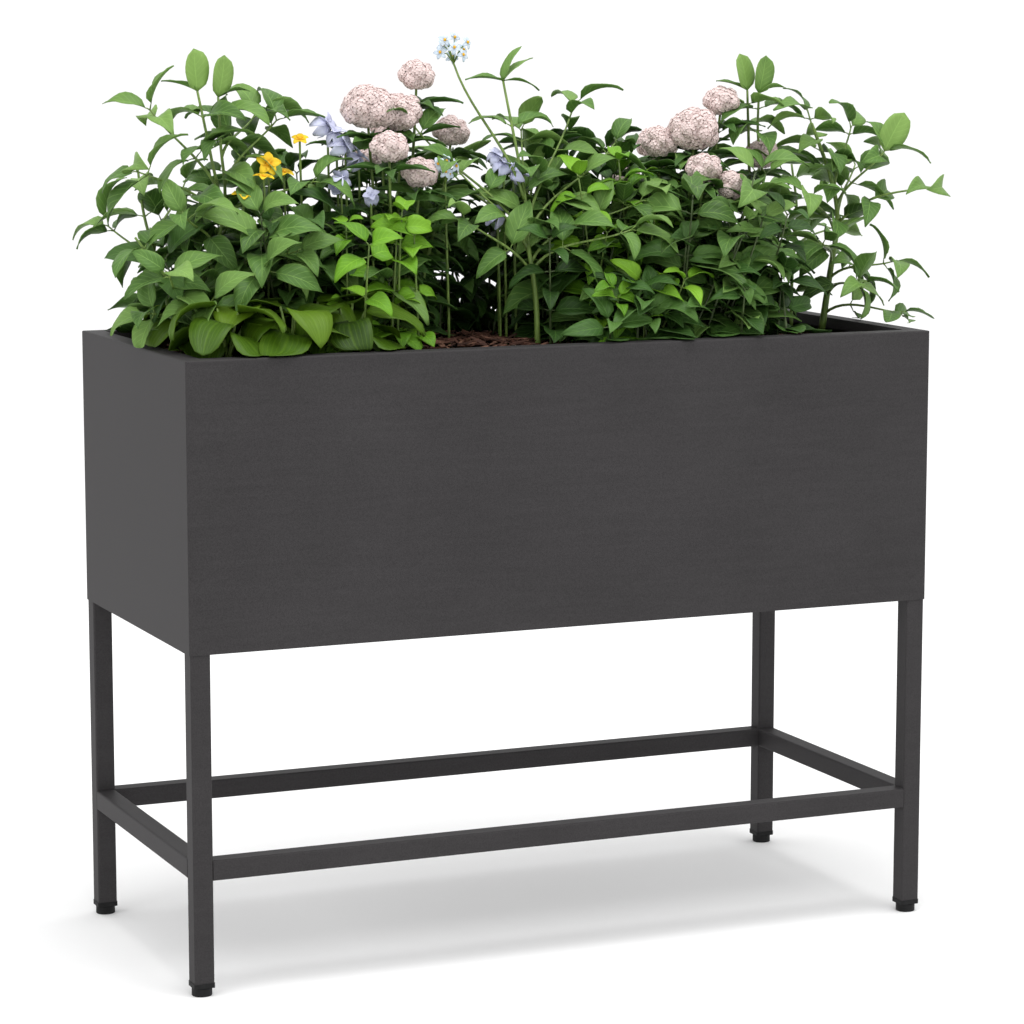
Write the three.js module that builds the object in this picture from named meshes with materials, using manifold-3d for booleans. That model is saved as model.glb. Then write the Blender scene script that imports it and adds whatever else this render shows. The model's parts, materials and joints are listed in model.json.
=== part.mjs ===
// Raised planter on legs: a folded and welded sheet-steel box on a square-tube stand,
// with a drained floor inside, four screw-out levelling feet, and its compost, bark and plants.
// Millimetres, +Z up. The origin is on the ground under the middle of the box, and the front faces -Y.
import * as THREE from 'three';
import { mergeVertices } from 'three/addons/utils/BufferGeometryUtils.js';
import Module from 'manifold-3d';

const wasm = await Module();
wasm.setup();

// ---- Driving dimensions ----
const LENGTH = 800;             // box, along X
const WIDTH = 348;              // box, along Y
const RIM_Z = 614;              // top of the rim above the ground
const BOX_BOTTOM_Z = 334;       // lower edge of the box
const SHEET = 1;                // steel sheet of the box
const BEND_RADIUS = 2;          // outside of each folded edge of the box
const RIM_FOLD = 20;            // width of the rim folded in along the top
const RIM_LIP = 11;             // rim's inner edge turned down, from the rim's top
const BOTTOM_FOLD = 14;         // box's lower edge folded in

const TUBE = 20;                // square tube of legs and stretchers
const TUBE_WALL = 1.5;
const TUBE_CORNER = 2;          // outside corner radius of the tube
const LEG_BOTTOM_Z = 13;
const LEG_TOP_Z = 574;          // the legs run up inside the box's corners
const STRETCHER_BOTTOM_Z = 113.5;

const FLOOR_Z = 352;            // underside of the floor sheet, on its braces
const FLOOR_LIP = 12;
const BRACE_WIDTH = 30;
const BRACE_WALL = 1.5;
const BRACE_X = [-250, 0, 250];
const DRAIN_RADIUS = 6;
const DRAIN_X = [-330, -170, -60, 60, 170, 330];
const DRAIN_Y = [-90, 90];

const GAP = 0.3;                // clearance between pieces that only meet
const CUT_MARGIN = 1;           // how far a cutting solid reaches past what it cuts
const STUD_RADIUS = 4;          // M8 levelling stud
const STUD_LENGTH = 40;
const STUD_CHAMFER = 1;
const NUT_ACROSS_FLATS = 13;
const NUT_HEIGHT = 6.5;
const PLUG_FLANGE = 4.5;        // height of the plug's flange under the leg
const PLUG_LIP = 0.6;           // how far the flange stands out past the leg on each side
const PLUG_DEPTH = 18;          // how far the plug goes up into the leg
const PLUG_CORNER = 1;          // corner radius of the plug's core and fins
const PLUG_CORE_CLEARANCE = 1;  // between the core and the tube on each side, bridged by the fins
const FIN_RISES = [3, 8, 13];   // lower face of each fin above the leg's end
const FIN_THICKNESS = 1.2;
const PAD_RADIUS = 9.95;
const PAD_HEIGHT = LEG_BOTTOM_Z - PLUG_FLANGE - GAP;
const PAD_LOWER_CHAMFER = 0.5;
const PAD_UPPER_CHAMFER = 0.4;
const PAD_SOCKET_Z = 3.5;       // bottom of the socket that the stud turns in

const PLANTING_CLEARANCE = 2;   // all round, between the compost and the rim's opening
const COMPOST_TOP_Z = 585;
const MULCH_TOP_Z = 600;

// Each plant is a plain crown on a stem: x of the stem, half sizes of the crown, and its top.
const PLANTS = [
  { name: 'shrub_left', x: -345, half: [125, 130, 108], top: 896 },
  { name: 'flowering_shrub_left', x: -122, half: [90, 140, 103], top: 888 },
  { name: 'tall_plant_middle', x: 48, half: [76, 200, 119], top: 920 },
  { name: 'flowering_shrub_right', x: 188, half: [60, 140, 92], top: 866 },
  { name: 'shrub_right', x: 360, half: [110, 130, 105], top: 892 },
];
const STEM_RADIUS = 8;
// Low clumps along the front, under the crowns.
const CLUMPS = [
  { name: 'broad_leaf_clump_left', x: -225, half: [120, 62, 34] },
  { name: 'low_clump_middle', x: 10, half: [105, 58, 32] },
  { name: 'low_clump_right', x: 225, half: [100, 58, 32] },
];
const CLUMP_Y = -104;

// Flat sides round each kind of round face.
const CORNER_SIDES = 3;         // each quarter turn of a rounded rectangle
const DRAIN_SIDES = 16;
const STUD_SIDES = 20;
const PAD_SIDES = 32;
const STEM_SIDES = 12;
const CROWN_SIDES = [16, 10];   // round a crown, and from its top to its bottom

// ---- Worked out from them ----
const HALF_L = LENGTH / 2;
const HALF_W = WIDTH / 2;
const LEG_X = HALF_L - SHEET - TUBE / 2;    // leg axes
const LEG_Y = HALF_W - SHEET - TUBE / 2;
const LEG_INNER_X = LEG_X - TUBE / 2;
const LEG_INNER_Y = LEG_Y - TUBE / 2;
const OPEN_X = HALF_L - RIM_FOLD;           // edge of the rim's opening
const OPEN_Y = HALF_W - RIM_FOLD;

// ---- Materials ----
const material = (color, roughness, metalness) =>
  new THREE.MeshStandardMaterial({ color, roughness, metalness });
const finish = {
  powderCoat: () => material(0x4b494a, 0.55, 0.2),
  zinc: () => material(0xa9acb0, 0.35, 0.9),
  blackPlastic: () => material(0x1a1a1b, 0.6, 0),
  compost: () => material(0x2b2019, 0.95, 0),
  bark: () => material(0x6b4a33, 0.9, 0),
  leaf: () => material(0x567a35, 0.6, 0),
};

// ---- Solids ----
// A three.js geometry as a manifold solid.
function solid(geometry) {
  const bare = geometry.index ? geometry.toNonIndexed() : geometry.clone();
  bare.deleteAttribute('normal');
  bare.deleteAttribute('uv');
  const merged = mergeVertices(bare, 1e-4);
  return new wasm.Manifold(new wasm.Mesh({
    numProp: 3,
    vertProperties: merged.attributes.position.array,
    triVerts: new Uint32Array(merged.index.array),
  }));
}

// A manifold solid as a three.js geometry.
function geometryOf(body) {
  const mesh = body.getMesh();
  const indexed = new THREE.BufferGeometry();
  indexed.setAttribute('position', new THREE.BufferAttribute(mesh.vertProperties, 3));
  indexed.setIndex(new THREE.BufferAttribute(mesh.triVerts, 1));
  const flat = indexed.toNonIndexed();
  flat.computeVertexNormals();
  return flat;
}

// A block between two corners.
function block(low, high) {
  const size = high.map((h, i) => h - low[i]);
  const box = new THREE.BoxGeometry(...size);
  return solid(box.translate(...high.map((h, i) => (h + low[i]) / 2)));
}

const join = (bodies) => bodies.reduce((all, body) => all.add(body));

// A closed outline along +Z from z0 to z1.
function prism(outline, z0, z1) {
  const options = { depth: z1 - z0, bevelEnabled: false, curveSegments: CORNER_SIDES };
  const made = new THREE.ExtrudeGeometry(outline, options);
  return made.translate(0, 0, z0);
}

// A rectangle with round corners, centred on the origin.
function roundedRectangle(width, height, radius, into = new THREE.Shape()) {
  const x = width / 2 - radius;
  const y = height / 2 - radius;
  into.moveTo(-x, -y - radius);
  into.lineTo(x, -y - radius);
  into.absarc(x, -y, radius, -Math.PI / 2, 0);
  into.lineTo(x + radius, y);
  into.absarc(x, y, radius, 0, Math.PI / 2);
  into.lineTo(-x, y + radius);
  into.absarc(-x, y, radius, Math.PI / 2, Math.PI);
  into.lineTo(-x - radius, -y);
  into.absarc(-x, -y, radius, Math.PI, Math.PI * 1.5);
  return into;
}

function cylinder(radius, z0, z1, sides) {
  const made = new THREE.CylinderGeometry(radius, radius, z1 - z0, sides);
  return solid(made.rotateX(Math.PI / 2).translate(0, 0, (z0 + z1) / 2));
}

// ---- The part ----
const planter = new THREE.Group();

function add(name, geometry, look, position = [0, 0, 0]) {
  const mesh = new THREE.Mesh(geometry, look);
  mesh.name = name;
  mesh.position.set(...position);
  planter.add(mesh);
}

// The four ways round: sign of X, sign of Y, and a name.
const CORNERS = [
  [-1, -1, 'front_left'],
  [1, -1, 'front_right'],
  [-1, 1, 'back_left'],
  [1, 1, 'back_right'],
];

// ---- Box: four folded panels ----
// The outside of the whole box, with every folded edge rounded.
function boxEnvelope() {
  const plan = solid(prism(roundedRectangle(LENGTH, WIDTH, BEND_RADIUS), BOX_BOTTOM_Z, RIM_Z));
  const tall = 2 * RIM_Z;       // centred on the ground, so that only its top corners matter
  const front = prism(roundedRectangle(LENGTH, tall, BEND_RADIUS), -HALF_W, HALF_W);
  const side = prism(roundedRectangle(tall, WIDTH, BEND_RADIUS), -HALF_L, HALF_L);
  return plan.intersect(solid(front.rotateX(Math.PI / 2))).intersect(solid(side.rotateY(Math.PI / 2)));
}
const envelope = boxEnvelope();

// Front or back: the wall, its returns round both corners, the rim with its lip, and the bottom fold.
function longPanel(side) {
  const outer = -HALF_W;
  const pieces = [
    block([-HALF_L, outer, BOX_BOTTOM_Z], [HALF_L, outer + SHEET, RIM_Z]),
    block([-HALF_L, outer, BOX_BOTTOM_Z], [-HALF_L + SHEET, -OPEN_Y, RIM_Z]),
    block([HALF_L - SHEET, outer, BOX_BOTTOM_Z], [HALF_L, -OPEN_Y, RIM_Z]),
    block([-HALF_L, outer, RIM_Z - SHEET], [HALF_L, -OPEN_Y, RIM_Z]),
    block([-OPEN_X - SHEET, -OPEN_Y - SHEET, RIM_Z - RIM_LIP], [OPEN_X + SHEET, -OPEN_Y, RIM_Z]),
    block([-LEG_INNER_X, outer, BOX_BOTTOM_Z], [LEG_INNER_X, outer + BOTTOM_FOLD, BOX_BOTTOM_Z + SHEET]),
  ];
  const made = geometryOf(join(pieces).intersect(envelope));
  return side < 0 ? made : made.rotateZ(Math.PI);
}

// Left or right: the same folds, between the long panels' returns.
function endPanel(side) {
  const outer = -HALF_L;
  const pieces = [
    block([outer, -OPEN_Y, BOX_BOTTOM_Z], [outer + SHEET, OPEN_Y, RIM_Z]),
    block([outer, -OPEN_Y, RIM_Z - SHEET], [-OPEN_X, OPEN_Y, RIM_Z]),
    block([-OPEN_X - SHEET, -OPEN_Y, RIM_Z - RIM_LIP], [-OPEN_X, OPEN_Y, RIM_Z]),
    block([outer, -LEG_INNER_Y, BOX_BOTTOM_Z], [outer + BOTTOM_FOLD, LEG_INNER_Y, BOX_BOTTOM_Z + SHEET]),
  ];
  const made = geometryOf(join(pieces).intersect(envelope));
  return side < 0 ? made : made.rotateZ(Math.PI);
}

add('front_panel', longPanel(-1), finish.powderCoat());
add('back_panel', longPanel(1), finish.powderCoat());
add('left_panel', endPanel(-1), finish.powderCoat());
add('right_panel', endPanel(1), finish.powderCoat());

// ---- Floor: a drained sheet with turned-up edges, on three channel braces ----
function floorSheet() {
  const innerX = HALF_L - SHEET;
  const innerY = HALF_W - SHEET;
  const top = FLOOR_Z + SHEET;
  const lipTop = FLOOR_Z + FLOOR_LIP;
  const pieces = [
    block([-innerX, -LEG_INNER_Y, FLOOR_Z], [innerX, LEG_INNER_Y, top]),
    block([-LEG_INNER_X, -innerY, FLOOR_Z], [LEG_INNER_X, innerY, top]),
  ];
  for (const s of [-1, 1]) {
    const ends = [s * innerX, s * (innerX - SHEET)].sort((a, b) => a - b);
    const sides = [s * innerY, s * (innerY - SHEET)].sort((a, b) => a - b);
    pieces.push(block([ends[0], -LEG_INNER_Y, FLOOR_Z], [ends[1], LEG_INNER_Y, lipTop]));
    pieces.push(block([-LEG_INNER_X, sides[0], FLOOR_Z], [LEG_INNER_X, sides[1], lipTop]));
  }
  let made = join(pieces);
  for (const x of DRAIN_X) {
    for (const y of DRAIN_Y) {
      const drain = cylinder(DRAIN_RADIUS, FLOOR_Z - CUT_MARGIN, top + CUT_MARGIN, DRAIN_SIDES);
      made = made.subtract(drain.translate([x, y, 0]));
    }
  }
  return geometryOf(made);
}
add('floor_sheet', floorSheet(), finish.powderCoat());

// A channel open at the bottom, on the front and back panels' bottom folds.
function brace() {
  const half = BRACE_WIDTH / 2;
  const low = BOX_BOTTOM_Z + SHEET;
  const innerY = HALF_W - SHEET;
  const outside = block([-half, -innerY, low], [half, innerY, FLOOR_Z]);
  const inside = block(
    [-half + BRACE_WALL, -innerY - CUT_MARGIN, low - CUT_MARGIN],
    [half - BRACE_WALL, innerY + CUT_MARGIN, FLOOR_Z - BRACE_WALL],
  );
  return geometryOf(outside.subtract(inside));
}
['left', 'middle', 'right'].forEach((place, i) => {
  add(`floor_brace_${place}`, brace(), finish.powderCoat(), [BRACE_X[i], 0, 0]);
});

// ---- Stand: four legs and four stretchers of one square tube ----
function tube(z0, z1) {
  const section = roundedRectangle(TUBE, TUBE, TUBE_CORNER);
  const bore = TUBE - 2 * TUBE_WALL;
  section.holes.push(roundedRectangle(bore, bore, TUBE_CORNER - TUBE_WALL, new THREE.Path()));
  return prism(section, z0, z1);
}

for (const [sx, sy, place] of CORNERS) {
  add(`leg_${place}`, tube(LEG_BOTTOM_Z, LEG_TOP_Z), finish.powderCoat(), [sx * LEG_X, sy * LEG_Y, 0]);
}

const stretcherZ = STRETCHER_BOTTOM_Z + TUBE / 2;
const longStretcher = () => tube(-LEG_INNER_X, LEG_INNER_X).rotateY(Math.PI / 2);
const shortStretcher = () => tube(-LEG_INNER_Y, LEG_INNER_Y).rotateX(Math.PI / 2);
add('stretcher_front', longStretcher(), finish.powderCoat(), [0, -LEG_Y, stretcherZ]);
add('stretcher_back', longStretcher(), finish.powderCoat(), [0, LEG_Y, stretcherZ]);
add('stretcher_left', shortStretcher(), finish.powderCoat(), [-LEG_X, 0, stretcherZ]);
add('stretcher_right', shortStretcher(), finish.powderCoat(), [LEG_X, 0, stretcherZ]);

// ---- Levelling feet: an end plug with its nut, a threaded stud and a round pad ----
function hexagon(acrossFlats, z0, z1) {
  return cylinder(acrossFlats / Math.sqrt(3), z0, z1, 6);
}

const nutZ = LEG_BOTTOM_Z + PLUG_DEPTH - NUT_HEIGHT - GAP;

// The plug: a flange under the tube's end, a core with three fins, a bore and the nut's pocket.
function endPlug() {
  const bore = TUBE - 2 * TUBE_WALL;
  const core = bore - 2 * PLUG_CORE_CLEARANCE;
  const fin = bore - 2 * GAP;
  const top = LEG_BOTTOM_Z + PLUG_DEPTH;
  const square = (size, radius, z0, z1) => solid(prism(roundedRectangle(size, size, radius), z0, z1));
  const pieces = [
    square(TUBE + 2 * PLUG_LIP, TUBE_CORNER + PLUG_LIP, LEG_BOTTOM_Z - PLUG_FLANGE, LEG_BOTTOM_Z),
    square(core, PLUG_CORNER, LEG_BOTTOM_Z - PLUG_FLANGE, top),
  ];
  for (const rise of FIN_RISES) {
    pieces.push(square(fin, PLUG_CORNER, LEG_BOTTOM_Z + rise, LEG_BOTTOM_Z + rise + FIN_THICKNESS));
  }
  return geometryOf(join(pieces)
    .subtract(cylinder(STUD_RADIUS + GAP, 0, top + CUT_MARGIN, STUD_SIDES))
    .subtract(hexagon(NUT_ACROSS_FLATS + 2 * GAP, nutZ - GAP, top + CUT_MARGIN)));
}

function nut() {
  const top = nutZ + NUT_HEIGHT;
  return geometryOf(hexagon(NUT_ACROSS_FLATS, nutZ, top)
    .subtract(cylinder(STUD_RADIUS + GAP, nutZ - CUT_MARGIN, top + CUT_MARGIN, STUD_SIDES)));
}

// A profile of radius and height, turned round +Z.
function turned(profile, sides) {
  return new THREE.LatheGeometry(profile.map((p) => new THREE.Vector2(...p)), sides).rotateX(Math.PI / 2);
}

function stud() {
  const low = PAD_SOCKET_Z + GAP;
  const top = low + STUD_LENGTH;
  const endRadius = STUD_RADIUS - STUD_CHAMFER;
  return turned([
    [0, low], [endRadius, low], [STUD_RADIUS, low + STUD_CHAMFER],
    [STUD_RADIUS, top - STUD_CHAMFER], [endRadius, top], [0, top],
  ], STUD_SIDES);
}

function pad() {
  const socket = STUD_RADIUS + GAP;
  return turned([
    [0, 0], [PAD_RADIUS - PAD_LOWER_CHAMFER, 0], [PAD_RADIUS, PAD_LOWER_CHAMFER],
    [PAD_RADIUS, PAD_HEIGHT - PAD_UPPER_CHAMFER], [PAD_RADIUS - PAD_UPPER_CHAMFER, PAD_HEIGHT],
    [socket, PAD_HEIGHT], [socket, PAD_SOCKET_Z], [0, PAD_SOCKET_Z],
  ], PAD_SIDES);
}

for (const [sx, sy, place] of CORNERS) {
  const at = [sx * LEG_X, sy * LEG_Y, 0];
  add(`end_plug_${place}`, endPlug(), finish.blackPlastic(), at);
  add(`stud_nut_${place}`, nut(), finish.zinc(), at);
  add(`foot_stud_${place}`, stud(), finish.zinc(), at);
  add(`foot_pad_${place}`, pad(), finish.blackPlastic(), at);
}

// ---- Planting: compost, bark on top of it, and the plants as plain crowns ----
const bedX = OPEN_X - PLANTING_CLEARANCE;
const bedY = OPEN_Y - PLANTING_CLEARANCE;
const bed = (z0, z1) => geometryOf(block([-bedX, -bedY, z0], [bedX, bedY, z1]));
add('compost', bed(FLOOR_Z + SHEET + GAP, COMPOST_TOP_Z), finish.compost());
add('bark_mulch', bed(COMPOST_TOP_Z + GAP, MULCH_TOP_Z), finish.bark());

// A crown of the given half sizes with its middle at z.
function crown(half, z) {
  const ball = new THREE.SphereGeometry(1, ...CROWN_SIDES).rotateX(Math.PI / 2);
  return solid(ball.scale(...half).translate(0, 0, z));
}

for (const { name, x, half, top } of PLANTS) {
  const middle = top - half[2];
  const stem = cylinder(STEM_RADIUS, MULCH_TOP_Z + GAP, middle, STEM_SIDES);
  add(name, geometryOf(crown(half, middle).add(stem)), finish.leaf(), [x, 0, 0]);
}
for (const { name, x, half } of CLUMPS) {
  const middle = MULCH_TOP_Z + GAP + half[2];
  add(name, geometryOf(crown(half, middle)), finish.leaf(), [x, CLUMP_Y, 0]);
}

export default planter;
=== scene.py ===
"""Raised planter on legs, planted: materials for the steel planter, and the bed of plants."""
import json
import math
from collections import namedtuple

import bmesh
import bpy
import numpy as np
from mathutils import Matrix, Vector, noise


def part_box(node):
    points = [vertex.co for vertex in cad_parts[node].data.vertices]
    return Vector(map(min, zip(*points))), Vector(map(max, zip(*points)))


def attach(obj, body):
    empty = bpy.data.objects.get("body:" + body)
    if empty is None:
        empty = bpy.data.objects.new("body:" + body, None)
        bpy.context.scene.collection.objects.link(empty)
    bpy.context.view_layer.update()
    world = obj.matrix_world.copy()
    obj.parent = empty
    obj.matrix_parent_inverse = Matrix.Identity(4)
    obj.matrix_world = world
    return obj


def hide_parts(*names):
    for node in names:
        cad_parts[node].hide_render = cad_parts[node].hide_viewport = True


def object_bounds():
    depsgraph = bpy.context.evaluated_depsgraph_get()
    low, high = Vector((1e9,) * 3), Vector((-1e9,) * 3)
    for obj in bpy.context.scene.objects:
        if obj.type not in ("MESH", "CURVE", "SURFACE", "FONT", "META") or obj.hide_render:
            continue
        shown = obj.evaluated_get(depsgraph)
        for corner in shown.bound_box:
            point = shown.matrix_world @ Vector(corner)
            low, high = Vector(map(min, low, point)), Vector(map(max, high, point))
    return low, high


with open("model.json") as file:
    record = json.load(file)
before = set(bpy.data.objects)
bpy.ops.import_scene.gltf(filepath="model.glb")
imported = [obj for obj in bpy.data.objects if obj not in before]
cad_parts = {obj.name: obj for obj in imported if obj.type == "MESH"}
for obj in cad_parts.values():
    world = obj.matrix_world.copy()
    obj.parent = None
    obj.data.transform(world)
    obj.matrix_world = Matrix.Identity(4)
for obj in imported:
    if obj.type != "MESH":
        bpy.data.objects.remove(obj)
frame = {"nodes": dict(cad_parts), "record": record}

CAD_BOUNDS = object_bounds()
NODES = frame["nodes"]
PLANTING = "planting"
UP = np.array([0.0, 0.0, 1.0])
TURN = 2.0 * math.pi
GOLDEN_ANGLE = math.pi * (3.0 - math.sqrt(5.0))


# ------ camera, lights, floor
AIM = Vector((0.007, 0.0, 0.425))
CAMERA_AZIMUTH = math.radians(-23.41)
CAMERA_ELEVATION = math.radians(8.32)
CAMERA_DISTANCE = 3.402
LENS_MM = 115.3


def look_at(obj, target):
    obj.rotation_euler = (target - obj.location).to_track_quat("-Z", "Y").to_euler()


def add_camera():
    data = bpy.data.cameras.new("camera")
    data.lens = LENS_MM
    data.sensor_width = 36.0
    data.clip_end = 200.0
    camera = bpy.data.objects.new("camera", data)
    back = Vector((
        math.sin(CAMERA_AZIMUTH) * math.cos(CAMERA_ELEVATION),
        -math.cos(CAMERA_AZIMUTH) * math.cos(CAMERA_ELEVATION),
        math.sin(CAMERA_ELEVATION),
    ))
    camera.location = AIM + back * CAMERA_DISTANCE
    look_at(camera, AIM)
    bpy.context.scene.collection.objects.link(camera)
    bpy.context.scene.camera = camera


def add_area_light(name, location, size, watts):
    data = bpy.data.lights.new(name, "AREA")
    data.shape = "SQUARE"
    data.size = size
    data.energy = watts
    light = bpy.data.objects.new(name, data)
    light.location = location
    look_at(light, AIM)
    bpy.context.scene.collection.objects.link(light)


def add_studio():
    scene = bpy.context.scene
    scene.view_settings.view_transform = "Standard"
    scene.view_settings.look = "None"
    world = bpy.data.worlds.new("studio")
    world.use_nodes = True
    background = world.node_tree.nodes["Background"]
    background.inputs["Color"].default_value = (1.0, 1.0, 1.0, 1.0)
    background.inputs["Strength"].default_value = 1.15
    scene.world = world
    add_area_light("key", (-2.8, -1.0, 2.8), 1.6, 12.0)
    add_area_light("top", (0.1, -0.8, 3.4), 1.8, 56.0)
    floor_mesh = bpy.data.meshes.new("studio_floor")
    reach = 400.0
    corners = [(-reach, -reach, 0), (reach, -reach, 0), (reach, reach, 0), (-reach, reach, 0)]
    floor_mesh.from_pydata(corners, [], [(0, 1, 2, 3)])
    floor = bpy.data.objects.new("studio_floor", floor_mesh)
    scene.collection.objects.link(floor)
    paint = bpy.data.materials.new("studio_floor")
    paint.use_nodes = True
    shader = paint.node_tree.nodes["Principled BSDF"]
    shader.inputs["Base Color"].default_value = (0.91, 0.91, 0.91, 1.0)
    shader.inputs["Roughness"].default_value = 0.9
    shader.inputs["Specular IOR Level"].default_value = 0.1
    floor_mesh.materials.append(paint)


add_camera()
add_studio()


# ------ materials
class Nodes:
    """A new material's node tree, with short calls for what the materials below share."""

    def __init__(self, name):
        self.material = bpy.data.materials.new(name)
        self.material.use_nodes = True
        self.tree = self.material.node_tree
        self.shader = self.tree.nodes["Principled BSDF"]
        self.coordinates = self.tree.nodes.new("ShaderNodeTexCoord")

    def node(self, kind, inputs=None, **settings):
        made = self.tree.nodes.new("ShaderNode" + kind)
        for key, value in settings.items():
            setattr(made, key, value)
        for key, value in (inputs or {}).items():
            if isinstance(value, bpy.types.NodeSocket):
                self.tree.links.new(value, made.inputs[key])
            else:
                made.inputs[key].default_value = value
        return made

    def link(self, socket, name):
        self.tree.links.new(socket, self.shader.inputs[name])

    def constant(self, **values):
        for name, value in values.items():
            self.shader.inputs[name.replace("_", " ")].default_value = value

    def noise(self, scale, detail=3.0, roughness=0.5, vector=None):
        vector = vector or self.coordinates.outputs["Object"]
        inputs = {"Vector": vector, "Scale": scale, "Detail": detail, "Roughness": roughness}
        return self.node("TexNoise", inputs).outputs["Fac"]

    def ramp(self, factor, *stops):
        """Colours, or greys, at places from 0 to 1."""
        made = self.node("ValToRGB", {"Fac": factor})
        elements = made.color_ramp.elements
        while len(elements) < len(stops):
            elements.new(0.5)
        for element, (place, value) in zip(elements, stops):
            element.position = place
            element.color = (*value, 1.0) if isinstance(value, tuple) else (value, value, value, 1.0)
        return made.outputs["Color"]

    def mix(self, factor, a, b, mode="MIX"):
        first, second = (c if isinstance(c, bpy.types.NodeSocket) else (*c, 1.0) for c in (a, b))
        inputs = {0: factor, 6: first, 7: second}
        return self.node("Mix", inputs, data_type="RGBA", blend_type=mode).outputs[2]

    def math(self, operation, a, b=0.0, clamp=False):
        made = self.node("Math", {0: a, 1: b}, operation=operation, use_clamp=clamp)
        return made.outputs["Value"]

    def plus(self, a, b, clamp=False):
        return self.math("ADD", a, b, clamp)

    def minus(self, a, b, clamp=False):
        return self.math("SUBTRACT", a, b, clamp)

    def times(self, a, b):
        return self.math("MULTIPLY", a, b)

    def larger(self, a, b):
        return self.math("MAXIMUM", a, b)

    def tone(self):
        """The tone that Builder.add gives each shape."""
        return self.node("Attribute", attribute_name="tone").outputs["Fac"]

    def scaled(self, value, low, high):
        made = self.node("MapRange", {"Value": value, "To Min": low, "To Max": high})
        return made.outputs["Result"]

    def stretched(self, scale):
        inputs = {"Vector": self.coordinates.outputs["Object"], "Scale": scale}
        return self.node("Mapping", inputs).outputs["Vector"]

    def bump(self, height, strength, distance):
        inputs = {"Height": height, "Strength": strength, "Distance": distance}
        self.link(self.node("Bump", inputs).outputs["Normal"], "Normal")


def powder_coat():
    """Fine-textured dark grey powder coat: a close pebble, slow unevenness, and faint dust and rubs."""
    n = Nodes("powder_coat")
    pebble = n.noise(900.0, 2.0, 0.6)
    peel = n.noise(260.0, 2.0, 0.5)
    cloud = n.noise(7.0, 4.0, 0.6)
    streaks = n.noise(1.0, 3.0, 0.6, n.stretched((12.0, 12.0, 160.0)))
    tone = n.plus(n.times(cloud, 0.6), n.times(streaks, 0.4))
    base = n.ramp(tone, (0.3, (0.034, 0.032, 0.0329)), (0.7, (0.044, 0.0414, 0.0427)))
    specks = n.ramp(pebble, (0.3, 0.82), (0.62, 1.12))
    n.link(n.mix(1.0, base, specks, "MULTIPLY"), "Base Color")
    n.link(n.scaled(tone, 0.47, 0.62), "Roughness")
    n.constant(Metallic=0.0, Specular_IOR_Level=0.08)
    n.bump(n.plus(pebble, n.times(peel, 0.8)), 0.35, 0.00025)
    return n.material


def black_plastic():
    n = Nodes("black_plastic")
    grain = n.noise(1400.0, 2.0)
    scuff = n.noise(90.0, 5.0, 0.7)
    n.link(n.ramp(scuff, (0.35, (0.005, 0.005, 0.005)), (0.75, (0.015, 0.015, 0.016))), "Base Color")
    n.link(n.scaled(scuff, 0.5, 0.75), "Roughness")
    n.constant(Specular_IOR_Level=0.2)
    n.bump(grain, 0.3, 0.0001)
    return n.material


def zinc_steel():
    n = Nodes("zinc_steel")
    spangle = n.noise(420.0, 3.0, 0.6)
    n.link(n.ramp(spangle, (0.3, (0.44, 0.45, 0.46)), (0.7, (0.68, 0.69, 0.7))), "Base Color")
    n.link(n.scaled(spangle, 0.25, 0.45), "Roughness")
    n.constant(Metallic=1.0)
    n.bump(spangle, 0.15, 0.0001)
    return n.material


def compost():
    n = Nodes("compost")
    crumbs = n.noise(170.0, 6.0, 0.75)
    fibres = n.node("TexVoronoi", {"Vector": n.coordinates.outputs["Object"], "Scale": 240.0})
    dark, middle, light = (0.01, 0.006, 0.004), (0.03, 0.018, 0.011), (0.085, 0.052, 0.03)
    base = n.ramp(crumbs, (0.3, dark), (0.55, middle), (0.78, light))
    n.link(base, "Base Color")
    n.constant(Roughness=0.95, Specular_IOR_Level=0.2)
    n.bump(n.plus(crumbs, fibres.outputs["Distance"]), 0.9, 0.003)
    return n.material


def bark():
    """Reddish-brown bark chips: each chip has a tone of its own, with fibres along it."""
    n = Nodes("bark_chips")
    tone = n.tone()
    fibres = n.noise(1.0, 5.0, 0.7, n.stretched((60.0, 420.0, 420.0)))
    dark, middle, light = (0.03, 0.013, 0.008), (0.08, 0.033, 0.021), (0.17, 0.085, 0.055)
    chip = n.ramp(tone, (0.0, dark), (0.5, middle), (1.0, light))
    lines = n.ramp(fibres, (0.35, 0.45), (0.65, 1.25))
    n.link(n.mix(1.0, chip, lines, "MULTIPLY"), "Base Color")
    n.link(n.scaled(fibres, 0.7, 0.95), "Roughness")
    n.constant(Specular_IOR_Level=0.25)
    n.bump(fibres, 0.7, 0.0012)
    return n.material


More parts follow.
